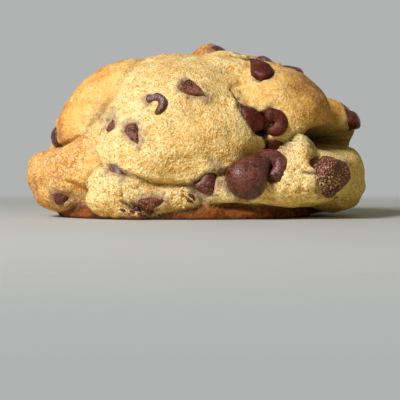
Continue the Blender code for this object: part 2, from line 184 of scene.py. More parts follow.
def noise(points, size, seed):
    """Gradient noise, about -1 to 1: random slopes at the corners of cubic cells, blended smoothly."""
    scaled = points / size
    cell = np.floor(scaled).astype(np.int64)
    inside = scaled - cell
    blend = inside**3 * (inside * (inside * 6 - 15) + 10)
    total = np.zeros(points.shape[:-1])
    for corner in np.ndindex(2, 2, 2):
        key = cell + corner
        mixed = key[..., 0] * 73856093 ^ key[..., 1] * 19349663 ^ key[..., 2] * 83492791 ^ seed * 2654435761
        mixed = (mixed ^ mixed >> 13) * 1274126177 & 0xFFFFFFFF
        slopes = np.stack([(mixed >> shift & 0x3FF) / 511.5 - 1 for shift in (3, 12, 21)], axis=-1)
        weight = np.prod(np.where(np.array(corner) == 1, blend, 1 - blend), axis=-1)
        total += weight * np.sum(slopes * (inside - corner), axis=-1)
    return total * 1.6


def ray_grid():
    """Ways out of the mound on a grid: round it, crowded at the front, and from the top pole down."""
    round_it = np.arange(COLUMNS) / COLUMNS * 2 * np.pi
    round_it = round_it + FRONT_CROWDING * np.sin(round_it)
    down = np.concatenate([np.linspace(0, RIM_ANGLE, SIDE_ROWS + 1)[1:],
                           np.linspace(RIM_ANGLE, np.pi, BASE_ROWS + 1)[1:-1]])
    round_it, down = np.meshgrid(round_it, down)
    return np.stack([np.sin(down) * np.sin(round_it), np.sin(down) * np.cos(round_it), np.cos(down)], axis=-1)


def march(starts, ways, reach):
    """Step inwards along rays from outside by nine tenths of the distance, until the surface is met."""
    moving = np.arange(len(starts))
    for _ in range(60):
        distance = hollowed_distance(starts[moving] + ways[moving] * reach[moving, None])
        reach[moving] -= np.clip(distance * 0.9, -1, 6)
        moving = moving[np.abs(distance) > 0.01]
        if len(moving) == 0:
            break
    return reach


def closed_grid(name, grid, first_pole, last_pole):
    """A mesh object from a grid whose columns join up, closed by a fan at each pole, with its faces outwards."""
    rows, columns = grid.shape[:2]
    points = np.vstack([first_pole, grid.reshape(-1, 3), last_pole])
    index = 1 + np.arange(rows * columns).reshape(rows, columns)
    after = np.roll(index, -1, axis=1)
    quads = np.stack([index[:-1], index[1:], after[1:], after[:-1]], axis=-1).reshape(-1, 4)
    top = np.stack([np.zeros(columns, dtype=int), index[0], after[0]], axis=-1)
    bottom = np.stack([np.full(columns, len(points) - 1), after[-1], index[-1]], axis=-1)
    corners = points[top[:, 0]], points[top[:, 1]], points[top[:, 2]]
    volume = np.sum(np.cross(points[quads[:, 0]], points[quads[:, 1]]) * points[quads[:, 2]])
    volume += np.sum(np.cross(corners[0], corners[1]) * corners[2])
    faces = quads.tolist() + top.tolist() + bottom.tolist()
    if volume < 0:
        faces = [face[::-1] for face in faces]
    mesh = bpy.data.meshes.new(name)
    mesh.from_pydata((points * MM).tolist(), [], faces)
    mesh.shade_smooth()
    item = bpy.data.objects.new(name, mesh)
    bpy.context.collection.objects.link(item)
    return item


def grid_normals(grid):
    """Unit normals of a closed grid, from its neighbours along and across."""
    along = np.gradient(grid, axis=0)
    across = np.roll(grid, -1, axis=1) - np.roll(grid, 1, axis=1)
    normals = np.cross(along, across)
    return normals / np.maximum(np.linalg.norm(normals, axis=-1, keepdims=True), 1e-9)


def step_up(value, low, high):
    """0 below low, 1 above high, and a smooth rise between them."""
    part = np.clip((value - low) / (high - low), 0, 1)
    return part * part * (3 - 2 * part)


ways = ray_grid().reshape(-1, 3)
starts = ways * (*RAY_DISC, 0.0) + (0.0, 0.0, RAY_DISC_HEIGHT)
reach = march(starts, ways, np.full(len(ways), RAY_REACH))
skin = starts + ways * reach[:, None]

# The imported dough's middle says how far the whole cookie was slid to stand over the origin.
low, high = (np.array(corner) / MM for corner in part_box("dough"))
slide = (low + high) / 2 - (skin.min(axis=0) + skin.max(axis=0)) / 2
slide[2] = 0.0


class Chip(NamedTuple):
    """One chip. It sits where a line, looked along from one side at two coordinates, meets the dough."""
    side: str
    at: tuple  # (x, z) from the front or back, (y, z) from the left or right, (x, y) from the top
    radius: float
    length: float
    proud: float  # how far its widest ring's centre stands out of the dough, less than 0 when sunk
    lean: float = 0.0  # degrees between its tip and the straight way out of the dough
    clock: float = 0.0  # degrees clockwise from up, the way it leans
    twist: float = 0.0  # degrees about its own axis, the way its tip curls
    curl: float = 20.0  # degrees that its tip is bent over
    tail: float = 0.0  # thickness of a curled tip, as a part of the radius
    stands: float = 0.45  # how far the flattened side of the chip stands out of the dough
    smear: float = 1.3  # how far it has stained the dough round it


CHIPS = {
    "chip_front": Chip("front", (12.2, 9.9), 5.3, 22.0, 0.2, 88, 42, 90, 250, 0.43, 5.0, 0.7),
    "chip_shoulder": Chip("front", (14.9, 24.0), 3.4, 8.0, -1.2, 80, -42, 0, 20, 0.0, 1.0),
    "chip_shoulder_curl": Chip("front", (18.9, 25.8), 2.1, 9.4, -0.6, 90, 92, 90, 225, 0.9, 1.3),
    "chip_right": Chip("front", (34.2, 10.6), 5.2, 8.6, -1.6, 150, 20, 0, 20, 0.0, 2.2, 0.7),
    "chip_ridge": Chip("front", (17.0, 36.6), 2.8, 7.8, -0.7, 60, -38, 0, 30, 0.0, 1.5),
    "chip_top": Chip("front", (5.8, 45.0), 2.6, 6.0, -2.0, 70, 75, 0, 20, 0.0, 0.6),
    "chip_crest_arc": Chip("top", (11.4, -13.0), 3.4, 6.4, -2.9, 80, -80),
    "chip_crest": Chip("top", (19.2, 3.6), 3.0, 6.2, -2.0, 70, 90, 0, 20, 0.0, 0.9),
    "chip_slope": Chip("top", (25.2, -12.5), 4.0, 7.6, -2.3, 84, 100, 0, 20, 0.0, 1.2),
    "chip_far_right": Chip("right", (-2.0, 25.2), 3.2, 6.2, -1.0, 80, 10, 0, 20, 0.0, 1.9),
    "chip_crescent": Chip("front", (-11.4, 29.9), 1.35, 9.0, -0.45, 90, 62, 90, 190, 0.85, 0.6, 1.8),
    "chip_centre": Chip("front", (-2.3, 32.9), 2.1, 9.6, -0.2, 76, 128, 0, 10, 0.0, 0.8, 1.6),
    "chip_left": Chip("front", (-15.9, 22.4), 1.9, 6.8, -0.2, 84, 150, 0, 10, 0.0, 0.8, 1.8),
    "chip_covered": Chip("front", (-21.4, 22.6), 1.25, 8.2, -0.1, 80, -4, 0, 10, 0.0, 0.6, 1.6),
    "chip_far_left": Chip("left", (-8.0, 20.6), 3.6, 6.6, -0.7, 85, 20, 0, 20, 0.0, 2.5),
    "chip_low_left": Chip("front", (-34.9, 4.9), 2.4, 5.0, -1.6, 88, 95, 0, 20, 0.0, 0.35, 2.4),
    "chip_seam_left": Chip("front", (-20.4, 12.6), 1.9, 5.2, -1.3, 88, 125, 0, 20, 0.0, 0.35, 1.8),
    "chip_hem": Chip("front", (2.2, 7.9), 2.9, 8.0, -1.5, 86, 22, 0, 20, 0.0, 0.6, 2.0),
    "chip_low_middle": Chip("front", (-12.6, 3.6), 1.9, 6.4, -0.6, 86, 74, 0, 10, 0.0, 0.6, 2.4),
    "chip_seam_right": Chip("front", (19.6, 18.2), 2.6, 6.2, -1.0, 84, 70, 0, 20, 0.0, 0.9),
    "chip_top_left": Chip("top", (-13.5, 9.0), 4.2, 7.6, -2.9, 80, 210, 0, 20, 0.0, 0.5),
    "chip_top_back": Chip("top", (-2.5, 17.5), 4.4, 7.8, -2.4, 150, 80, 0, 20, 0.0, 1.2),
    "chip_top_right": Chip("top", (17.5, 17.0), 4.0, 7.4, -2.6, 80, 320, 0, 20, 0.0, 0.6),
    "chip_left_side": Chip("left", (6.0, 12.5), 4.1, 7.2, -2.8, 84, 120),
    "chip_left_back": Chip("left", (16.0, 24.0), 4.3, 7.6, -2.2, 82, 60, 0, 20, 0.0, 1.4),
    "chip_right_side": Chip("right", (10.0, 11.0), 4.4, 7.6, -2.3, 140, 200, 0, 20, 0.0, 1.6),
    "chip_back_left": Chip("back", (-14.0, 27.0), 4.5, 8.0, -2.4, 84, 230, 0, 20, 0.0, 1.0),
    "chip_back_low": Chip("back", (-6.0, 9.5), 4.3, 7.6, -2.5, 130, 140, 0, 20, 0.0, 1.4),
    "chip_back_right": Chip("back", (17.5, 22.0), 4.2, 7.4, -2.8, 84, 300),
    "chip_back_seam": Chip("back", (5.0, 18.0), 3.6, 7.0, -2.2, 84, 20, 0, 20, 0.0, 0.9),
    "chip_back_far": Chip("back", (26.0, 10.5), 4.2, 7.2, -2.7, 84, 70),
}


def chip_frame(chip):
    """A chip's X (its tip's curl), Y and Z (its axis) as columns, its place, its seat and the way out there."""
    a, b = chip.at
    starts = {"front": (a, -60, b), "back": (a, 60, b), "left": (-60, a, b), "right": (60, a, b),
              "top": (a, b, 60)}
    ways = {"front": (0, 1, 0), "back": (0, -1, 0), "left": (1, 0, 0), "right": (-1, 0, 0),
            "top": (0, 0, -1)}
    start = np.array(starts[chip.side], dtype=float)
    way = np.array(ways[chip.side], dtype=float)
    along = np.arange(0, 70, 0.05)
    place = start + way * along[(dough_distance(start + way * along[:, None]) < 0).argmax()]
    probes = np.eye(3) * 0.8
    outward = dough_distance(place + probes) - dough_distance(place - probes)
    outward /= np.linalg.norm(outward)
    up = np.array([0.0, 1.0, 0.0]) if outward[2] > 0.93 else np.array([0.0, 0.0, 1.0])
    up -= outward * (up @ outward)
    up /= np.linalg.norm(up)
    right = np.cross(up, outward)
    lean, clock, twist = np.radians((chip.lean, chip.clock, chip.twist))
    leant = np.cos(clock) * up + np.sin(clock) * right
    axis = np.cos(lean) * outward + np.sin(lean) * leant
    away = np.cos(lean) * leant - np.sin(lean) * outward
    around = np.cos(clock) * right - np.sin(clock) * up
    curl_way = np.cos(twist) * away + np.sin(twist) * around
    columns = np.stack([curl_way, np.cross(axis, curl_way), axis], axis=1)
    return columns, place + outward * chip.proud, place, outward


chip_frames = {name: chip_frame(chip) for name, chip in CHIPS.items()}

SHOWN_SIDE = -8  # points with y below this are on the shown side

# Chocolate under a thin skin on the shown side, seen as a smoky patch: centre as (x, z), reach and strength.
UNDER_SKIN = (((-23.2, 25.6), 2.7, 0.8), ((-22.4, 22.6), 1.8, 0.5), ((1.2, 32.0), 1.8, 0.4),
              ((-14.2, 21.4), 2.2, 0.4), ((-9.4, 5.0), 2.6, 0.75), ((-15.5, 2.4), 1.8, 0.4))


def near_chips(points):
    """The least distance from points to a chip, as a cone along its axis, and the strongest stain there."""
    nearest = np.full(len(points), 99.0)
    stain = np.zeros(len(points))
    ragged = 1.2 * noise(points, 2.4, 15)
    for name, chip in CHIPS.items():
        columns, place = chip_frames[name][:2]
        length = 0.1 if chip.tail else 0.7 * chip.length
        along = np.clip((points - place) @ columns[:, 2] / length, 0, 1)
        radius = chip.radius * (1 - 0.6 * along)
        distance = np.linalg.norm(points - place - along[:, None] * length * columns[:, 2], axis=1) - radius
        nearest = np.minimum(nearest, distance)
        stain = np.maximum(stain, 1 - step_up(distance + ragged, 0.0, chip.smear))
    for centre, size, strength in UNDER_SKIN:
        patch = np.exp(-(np.linalg.norm(points[:, [0, 2]] - centre, axis=1) / size) ** 2)
        patch *= points[:, 1] < SHOWN_SIDE
        stain = np.maximum(stain, strength * patch * (1 + 0.6 * noise(points, 1.6, 16)))
    return nearest, stain


# Cracks on the shown side: start and end as (x, z), half width and depth.
CRACKS = (
    ((9.2, 41.8), (14.4, 40.6), 0.35, 0.9),
    ((8.4, 32.6), (12.6, 26.8), 0.30, 0.7),
    ((26.4, 12.0), (29.6, 11.2), 0.4, 0.8),
    ((-17.6, 4.0), (-14.6, 2.9), 0.6, 1.2),
    ((-14.6, 2.9), (-11.0, 1.9), 0.5, 1.0),
    ((-15.0, 4.2), (-13.2, 1.2), 0.4, 0.8),
)

# Soft folds on the shown side, the same way. They stay the colour of the skin.
SOFT_FOLDS = (
    ((-36.5, 12.6), (-33.4, 9.4), 0.9, 0.9),
    ((-33.4, 9.4), (-27.8, 7.0), 0.9, 1.0),
    ((-27.8, 7.0), (-22.6, 10.2), 0.9, 0.9),
    ((9.4, 33.4), (16.2, 34.8), 0.8, 0.8),
    ((-29.0, 14.6), (-23.0, 13.2), 0.7, 0.5),
    ((-20.0, 29.0), (-22.6, 22.0), 1.0, 0.7),
    ((-6.0, 14.0), (4.0, 15.4), 1.2, 0.4),
)


def grooved(points, lines):
    """How far into a groove points are, 0 to 1, and its depth there: a bell curve across a wandering line."""
    mask = np.zeros(len(points))
    depth = np.zeros(len(points))
    flat = points[:, [0, 2]]
    wander = 0.7 * np.stack([noise(points, 1.9, 21), noise(points, 1.9, 22)], axis=1)
    for start, end, width, deepest in lines:
        start, end = np.array(start), np.array(end)
        line = end - start
        part = np.clip((flat + wander - start) @ line / (line @ line), 0, 1)
        away = np.linalg.norm(flat + wander - start - part[:, None] * line, axis=1)
        inside = np.exp(-(away / width) ** 2) * (points[:, 1] < SHOWN_SIDE)
        mask = np.maximum(mask, inside)
        depth = np.maximum(depth, inside * deepest)
    return mask, depth


# Places where the dough tore and stayed rough: centre and reach.
TORN = (((28, -36, 8), 6.5), ((34, -37, 4), 4), ((-12, -36, 4), 7), ((0, -37, 5), 5), ((22, -36, 9), 5),
        ((-21, -37, 7), 6), ((26, -32, 17), 4), ((-34, -27, 5), 4), ((18, 30, 10), 9), ((-22, 27, 12), 9),
        ((38, 8, 8), 7))

DEEP_FOLD = (32.5, -11, 20.6), (9.5, 20, 3.0)  # centre and reaches of the fold that stays in shade
MERGED = (-25, -25, 15.5), 8.0  # centre and reach of where two folds baked into one

folds = fold_distances(skin)
weights = np.exp(-(folds - folds.min(axis=0)) / FOLD_BLEND)
weights /= weights.sum(axis=0)
two_lowest = np.sort(folds, axis=0)[:2]
parting = two_lowest[1] - two_lowest[0]  # 0 in a crease, and growing away from it
crease = np.exp(-((parting / 0.7) ** 2)) * (1 - 0.75 * step_up(skin[:, 2], 22, 34))
chip_gap, stain = near_chips(skin)
beside_chip = 1 - step_up(chip_gap, 0.3, 3.0)
crumbly = np.array([fold[2] for fold in FOLDS.values()]) @ weights + 0.35 * noise(skin, 7.0, 11)
crumbly = np.clip(crumbly + 0.35 * beside_chip, 0, 1)
torn = np.zeros(len(skin))
for centre, size in TORN:
    torn = np.maximum(torn, np.exp(-(np.linalg.norm(skin - centre, axis=1) / size) ** 2))
# The cracks are cut in by their depth, and their mask paints shade into them.
painted_shade, crack_depth = grooved(skin, CRACKS)
_, fold_depth = grooved(skin, SOFT_FOLDS)
buried = step_up(-dough_distance(skin), 0.2, 2.2)  # how far inside a hollow
shaded_fold = np.exp(-np.sum(((skin - DEEP_FOLD[0]) / DEEP_FOLD[1]) ** 4, axis=1))
merged = np.exp(-np.sum(((skin - MERGED[0]) / MERGED[1]) ** 2, axis=1))
crease *= 1 - merged

skin_grid = skin.reshape(-1, COLUMNS, 3)
stride = np.linalg.norm(np.gradient(skin_grid, axis=0), axis=-1).reshape(-1)
close_rows = 1 - step_up(stride, 0.6, 1.4)
# The relief on the skin, in millimetres, from broad swells down to crumbs, and what folds and chips do to it.
swell = 0.26 * noise(skin, 9.0, 1) + 0.06 * noise(skin, 4.2, 2)
puffs = (0.03 + 0.05 * crumbly + 0.16 * torn) * (2 * np.abs(noise(skin, 3.1, 3)) - 0.5)
grain = 0.05 * noise(skin, 1.5, 4) + 0.05 * noise(skin, 0.9, 5)
crumbs = torn * (0.55 * np.abs(noise(skin, 2.0, 6)) + 0.36 * noise(skin, 1.1, 7) - 0.12)
lip = 0.40 * np.exp(-((chip_gap - 0.9) / 0.8) ** 2) * (0.4 + noise(skin, 2.5, 8))
hem_roll = 0.45 * weights[list(FOLDS).index("apron")] * np.exp(-(((parting - 1.9) / 1.1) ** 2))
hem_roll *= 1 - step_up(skin[:, 2], 13, 18)
off_base = step_up(skin[:, 2], 0.2, 1.6)
filled = 0.9 * merged * np.exp(-((parting / 2.0) ** 2))
relief = swell + puffs + (grain + crumbs) * close_rows + lip + hem_roll + filled - 0.9 * crease
relief -= crack_depth + fold_depth
under_chip = 1 - step_up(chip_gap, -0.7, 0.1)
relief = (relief * (1 - under_chip) - 0.5 * under_chip) * off_base

normals = grid_normals(skin_grid).reshape(-1, 3)
normals *= np.sign(np.sum(normals * ways, axis=1, keepdims=True))
finished = skin + normals * relief[:, None] + slide
finished[:, 2] = np.maximum(finished[:, 2], 0.0)
grid = finished.reshape(-1, COLUMNS, 3)
top_pole = grid[0].mean(axis=0)
base_pole = grid[-1].mean(axis=0) * (1, 1, 0)
dough = closed_grid("baked_dough", grid, top_pole, base_pole)

# Places the oven browned more, or less, than the fold they are on: centre, reach and how much.
BROWNED = (
    ((-39, -12, 27), 9, 0.55),
    ((-25, -10, 40), 10, 0.16),
    ((-17, -26, 26), 8, -0.18),
    ((2.5, -4, 44), 6, 0.65),
    ((29, -20, 31), 9, 0.30),
    ((38, -2, 30), 7, 0.22),
    ((20, -30, 21), 7, -0.15),
    ((-4, -34, 20), 11, 0.10),
    ((-24, -30, 2), 5, 0.35),
    ((-12, -35, 1), 5, 0.25),
    ((-30, -26, 15), 8, 0.12),
    ((-40, -18, 8), 9, 0.18),
)

# How sandy the skin of a fold is, where it is not the usual.
USUAL_GRAIN = 0.9
GRAIN = {"left_shoulder": 0.45, "left_low": 0.65, "back_crown": 0.45, "right_knob": 0.5, "ridge": 0.65,
         "right_shoulder": 0.65}

# What the oven did to each place, and where shade is painted, from 0 to 1, for the material to read.
bake = np.array([fold[1] for fold in FOLDS.values()]) @ weights
for centre, size, amount in BROWNED:
    bake += amount * np.exp(-(np.linalg.norm(skin - centre, axis=1) / size) ** 2)
bake += 0.08 * step_up(skin[:, 2], 14, 40) + 0.16 * noise(skin, 13.0, 12) + 0.17 * noise(skin, 4.5, 13)
# Painted shade: creases a little browner. Dough beside a chip stays paler.
bake += 0.12 * crease - 0.18 * beside_chip
grainy = np.array([GRAIN.get(name, USUAL_GRAIN) for name in FOLDS]) @ weights
grainy += 0.35 * noise(skin, 6.0, 18) + 0.4 * torn
# The browned foot underneath; its darkest crust colour is also painted shade under the hem.
foot = step_up(weights[0], 0.2, 0.6) * (1 - step_up(skin[:, 2], 3.4, 5.0))
foot = np.maximum(foot, 1 - step_up(skin[:, 2] + 0.8 * noise(skin, 3.0, 14), 0.4, 1.4))
# Painted shade: near black laid on cracks, hollows, the deep fold and, fainter, the creases.
painted_shade = np.max([painted_shade, buried, shaded_fold, 0.6 * crease], axis=0)  # every place that light hardly reaches


def store(item, name, values):
    """Keep one number for each vertex as an attribute, the poles taking their neighbours' mean."""
    ends = values[:COLUMNS].mean(), values[-COLUMNS:].mean()
    attribute = item.data.attributes.new(name, 'FLOAT', 'POINT')
    attribute.data.foreach_set("value", np.concatenate([[ends[0]], values, [ends[1]]]).astype(np.float32))


for name, values in {"bake": bake, "crumbly": crumbly, "foot": foot, "stain": stain, "painted_shade": painted_shade,
                     "grain": grainy}.items():
    store(dough, name, np.clip(values, 0, 1))


def add_node(tree, kind, inputs=(), **settings):
    """Add a node, set its properties, and give each named input a value or the socket that feeds it."""
    made = tree.nodes.new(kind)
    for name, value in settings.items():
        setattr(made, name, value)
    for name, value in dict(inputs).items():
        if isinstance(value, bpy.types.NodeSocket):
            tree.links.new(value, made.inputs[name])
        else:
            made.inputs[name].default_value = value
    return made


def sum_of(tree, first, second, operation='ADD', clamp=False):
    """One Math node on two values or sockets."""
    inputs = {0: first, 1: second}
    return add_node(tree, 'ShaderNodeMath', inputs, operation=operation, use_clamp=clamp).outputs[0]


def blended(tree, part, first, second, way='MIX'):
    """One colour Mix node."""
    inputs = {0: part, 6: first, 7: second}
    return add_node(tree, 'ShaderNodeMix', inputs, data_type='RGBA', blend_type=way).outputs[2]


def spread(tree, value, low, high, to_low=0.0, to_high=1.0):
    """One smooth Map Range node."""
    inputs = {0: value, 1: low, 2: high, 3: to_low, 4: to_high}
    return add_node(tree, 'ShaderNodeMapRange', inputs, interpolation_type='SMOOTHSTEP').outputs[0]


def speckle(tree, place, size, detail=2.0, roughness=0.6):
    """Noise whose spots are about size millimetres across."""
    inputs = {"Vector": place, "Scale": 1 / (size * MM), "Detail": detail, "Roughness": roughness}
    return add_node(tree, 'ShaderNodeTexNoise', inputs).outputs[0]


def new_group(name, inputs, outputs):
    """An empty shader node group with float inputs at their starting values, and the named outputs."""
    tree = bpy.data.node_groups.new(name, 'ShaderNodeTree')
    for socket, value in inputs.items():
        tree.interface.new_socket(socket, in_out='INPUT', socket_type='NodeSocketFloat').default_value = value
    for socket, kind in outputs.items():
        tree.interface.new_socket(socket, in_out='OUTPUT', socket_type=kind)
    return tree, tree.nodes.new('NodeGroupInput').outputs, tree.nodes.new('NodeGroupOutput').inputs


def baked_skin():
    """The skin of baked dough: its colour by how well it is baked, with painted highlights and painted shade on
    its grain and painted shade in its cracks and hollows, and the height of its fine grain.
    """
    inputs = {"Bake": 0.4, "Crumbly": 0.3, "Foot": 0.0, "Stain": 0.0, "Painted_shade": 0.0, "Grain": 0.8}
    outputs = {"Color": 'NodeSocketColor', "Roughness": 'NodeSocketFloat', "Height": 'NodeSocketFloat'}
    tree, given, result = new_group("baked_skin", inputs, outputs)
    place = add_node(tree, 'ShaderNodeTexCoord').outputs["Object"]
    coarse = speckle(tree, place, 2.0, 3.0)
    fine = speckle(tree, place, 1.05, 2.0, 0.65)
    dust = speckle(tree, place, 0.42, 1.0, 0.6)

    freckles = spread(tree, coarse, 0.34, 0.66, -0.12, 0.12)
    freckles = sum_of(tree, freckles, spread(tree, fine, 0.36, 0.64, 0.13, -0.13))
    freckles = sum_of(tree, freckles, given["Grain"], 'MULTIPLY')
    browning = sum_of(tree, given["Bake"], freckles, clamp=True)
    ramp = add_node(tree, 'ShaderNodeValToRGB', {0: browning})
    stops = ((0.0, (0.93, 0.74, 0.36)), (0.3, (0.88, 0.62, 0.24)), (0.55, (0.82, 0.48, 0.125)),
             (0.8, (0.70, 0.31, 0.045)), (1.0, (0.44, 0.14, 0.018)))
    while len(ramp.color_ramp.elements) < len(stops):
        ramp.color_ramp.elements.new(0.5)
    for element, (position, colour) in zip(ramp.color_ramp.elements, stops):
        element.position = position
        element.color = (*colour, 1.0)
    colour = ramp.outputs[0]

    pale = sum_of(tree, given["Crumbly"], spread(tree, fine, 0.46, 0.64), 'MULTIPLY')
    colour = blended(tree, sum_of(tree, pale, 0.55, 'MULTIPLY'), colour, (0.94, 0.80, 0.46, 1.0))
    # The grain's light and shade are painted: painted shade in its pits, painted highlights on its finest bumps,
    # and painted shade beside them.
    pit_shade = sum_of(tree, spread(tree, fine, 0.45, 0.33, 0.0, 0.72), given["Grain"], 'MULTIPLY')
    colour = blended(tree, pit_shade, colour, (0.52, 0.27, 0.06, 1.0))
    grain_highlight = sum_of(tree, spread(tree, dust, 0.50, 0.68, 0.0, 0.74), given["Grain"], 'MULTIPLY')
    colour = blended(tree, grain_highlight, colour, (1.0, 0.90, 0.62, 1.0))
    shade = sum_of(tree, spread(tree, dust, 0.49, 0.33, 0.0, 0.62), given["Grain"], 'MULTIPLY')
    colour = blended(tree, shade, colour, (0.46, 0.24, 0.05, 1.0))
    specks = add_node(tree, 'ShaderNodeTexVoronoi', {"Vector": place, "Scale": 1 / (2.6 * MM)})
    specks = spread(tree, specks.outputs["Distance"], 0.11, 0.06, 0.0, 0.55)
    colour = blended(tree, specks, colour, (0.30, 0.12, 0.03, 1.0))

    # The brown crust underneath, its darkest tone partly painted shade under the overhanging hem.
    shaded_crust = blended(tree, spread(tree, coarse, 0.3, 0.7), (0.09, 0.014, 0.001, 1.0), (0.35, 0.095, 0.008, 1.0))
    colour = blended(tree, given["Foot"], colour, shaded_crust)
    smear = sum_of(tree, given["Stain"], spread(tree, fine, 0.26, 0.62, 0.95, 0.55), 'MULTIPLY')
    colour = blended(tree, smear, colour, (0.27, 0.155, 0.105, 1.0))
    # Painted shade, near black, where light hardly reaches.
    colour = blended(tree, sum_of(tree, given["Painted_shade"], 0.95, 'MULTIPLY'), colour, (0.016, 0.006, 0.002, 1.0))
    tree.links.new(colour, result["Color"])
    tree.links.new(spread(tree, fine, 0.3, 0.7, 0.85, 0.62), result["Roughness"])

    bumps = sum_of(tree, sum_of(tree, coarse, 0.25, 'MULTIPLY'), fine)
    bumps = sum_of(tree, bumps, sum_of(tree, dust, 0.6, 'MULTIPLY'))
    tree.links.new(sum_of(tree, bumps, given["Grain"], 'MULTIPLY'), result["Height"])
    return tree


skin_group = baked_skin()


def skinned_material(name, group, bump_strength, bump_depth):
    """A material with its colour, roughness and fine relief from a skin group; the group's node; the shader."""
    material = bpy.data.materials.new(name)
    material.use_nodes = True
    tree = material.node_tree
    shader = tree.nodes["Principled BSDF"]
    look = add_node(tree, 'ShaderNodeGroup', node_tree=group)
    relief = {"Strength": bump_strength, "Distance": bump_depth * MM, "Height": look.outputs["Height"]}
    bump = add_node(tree, 'ShaderNodeBump', relief)
    tree.links.new(look.outputs["Color"], shader.inputs["Base Color"])
    tree.links.new(look.outputs["Roughness"], shader.inputs["Roughness"])
    tree.links.new(bump.outputs[0], shader.inputs["Normal"])
    return material, look, shader


def dough_material():
    """Baked dough: soft light scattering just under a matt, grainy skin."""
    material, look, shader = skinned_material("baked_dough", skin_group, 1.0, 0.48)
    for name in ("bake", "crumbly", "foot", "stain", "painted_shade", "grain"):
        mask = add_node(material.node_tree, 'ShaderNodeAttribute', attribute_name=name)
        material.node_tree.links.new(mask.outputs["Fac"], look.inputs[name.capitalize()])
    shader.inputs["Specular IOR Level"].default_value = 0.35
    shader.inputs["Subsurface Weight"].default_value = 0.12
    shader.inputs["Subsurface Radius"].default_value = (1.0, 0.5, 0.2)
    shader.inputs["Subsurface Scale"].default_value = 1.2 * MM
    return material


dough.data.materials.append(dough_material())
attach(dough, "root")
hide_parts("dough")


# ---------------------------------------------------------------------------------------------------------
# The chocolate chips. Each was a moulded drop with a flat base, stirred into the dough; in the oven it went
# soft, slumped and took the print of the dough round it, and it set again with a satin, slightly bloomed skin.
# ---------------------------------------------------------------------------------------------------------

BASE_LENGTH = 0.55  # from a chip's base to its widest ring, as a part of its radius
NECK_LENGTH = 2.6  # from the widest ring to a thin tip, as a part of the radius
AXIS_STEPS = 400
CHIP_RINGS = 44
CHIP_SIDES = 40


def chip_grid(chip):
    """Rings along an axis that turns steadily as its tip curls: a rounded base, a belly, then a cosine fall."""
    widest = BASE_LENGTH * chip.radius * (1.6 if chip.tail else 1)
    neck = widest + min(NECK_LENGTH * chip.radius * (1 - chip.tail), chip.length - widest)
    curl_start = 0.15 * widest + 0.85 * neck if chip.tail else widest
    fine = np.linspace(0, chip.length, AXIS_STEPS)
    bend = np.radians(chip.curl) * np.clip((fine - curl_start) / (chip.length - curl_start), 0, 1)
    moves = np.stack([np.sin(bend), np.zeros(AXIS_STEPS), np.cos(bend)], axis=1) * fine[1]
    axis = np.cumsum(moves, axis=0)
    axis -= axis[np.searchsorted(fine, widest)]

    along = (1 - np.cos(np.pi * np.linspace(0.012, 0.988, CHIP_RINGS))) / 2 * chip.length
    flat = 2.0 if chip.tail else 2.6
    base = (1 - np.clip(1 - along / widest, 0, 1) ** flat) ** (1 / flat)
    fall = np.cos(np.pi / 2 * np.clip((along - widest) / (neck - widest), 0, 1)) ** (1.5 if chip.tail else 1.1)
    end = np.clip((along - widest) / (chip.length - widest), 0, 1) ** 6
    size = chip.radius * np.where(along < widest, base, ((1 - chip.tail) * fall + chip.tail) * np.sqrt(1 - end))

    turn = np.arange(CHIP_SIDES) / CHIP_SIDES * 2 * np.pi
    tilt = np.interp(along, fine, bend)
    middle = np.stack([np.interp(along, fine, axis[:, i]) for i in range(3)], axis=1)
    across = np.stack([np.cos(tilt), np.zeros(CHIP_RINGS), -np.sin(tilt)], axis=1)
    spokes = np.cos(turn)[None, :, None] * across[:, None, :] + np.sin(turn)[None, :, None] * np.array([0, 1, 0])
    return middle[:, None, :] + size[:, None, None] * spokes, axis[0], axis[-1]


def pressed(points, seat, outward, stands):
    """Flatten what stands out of the dough by more than a height: a smooth least of the two, 0.35 mm soft."""
    height = (points - seat) @ outward
    kept = stands - 0.35 * np.logaddexp(0, (stands - height) / 0.35)
    return points + (kept - height)[..., None] * outward


def soften(points, seed, strength):
    """Dents and slumps of a chip that went soft: three sizes of noise, as a shift along each axis."""
    shift = np.stack([noise(points, 4.5, seed + i) * 0.42 + noise(points, 1.8, seed + 3 + i) * 0.14
                      + noise(points, 0.8, seed + 6 + i) * 0.04 for i in range(3)], axis=-1)
    return points + shift * strength


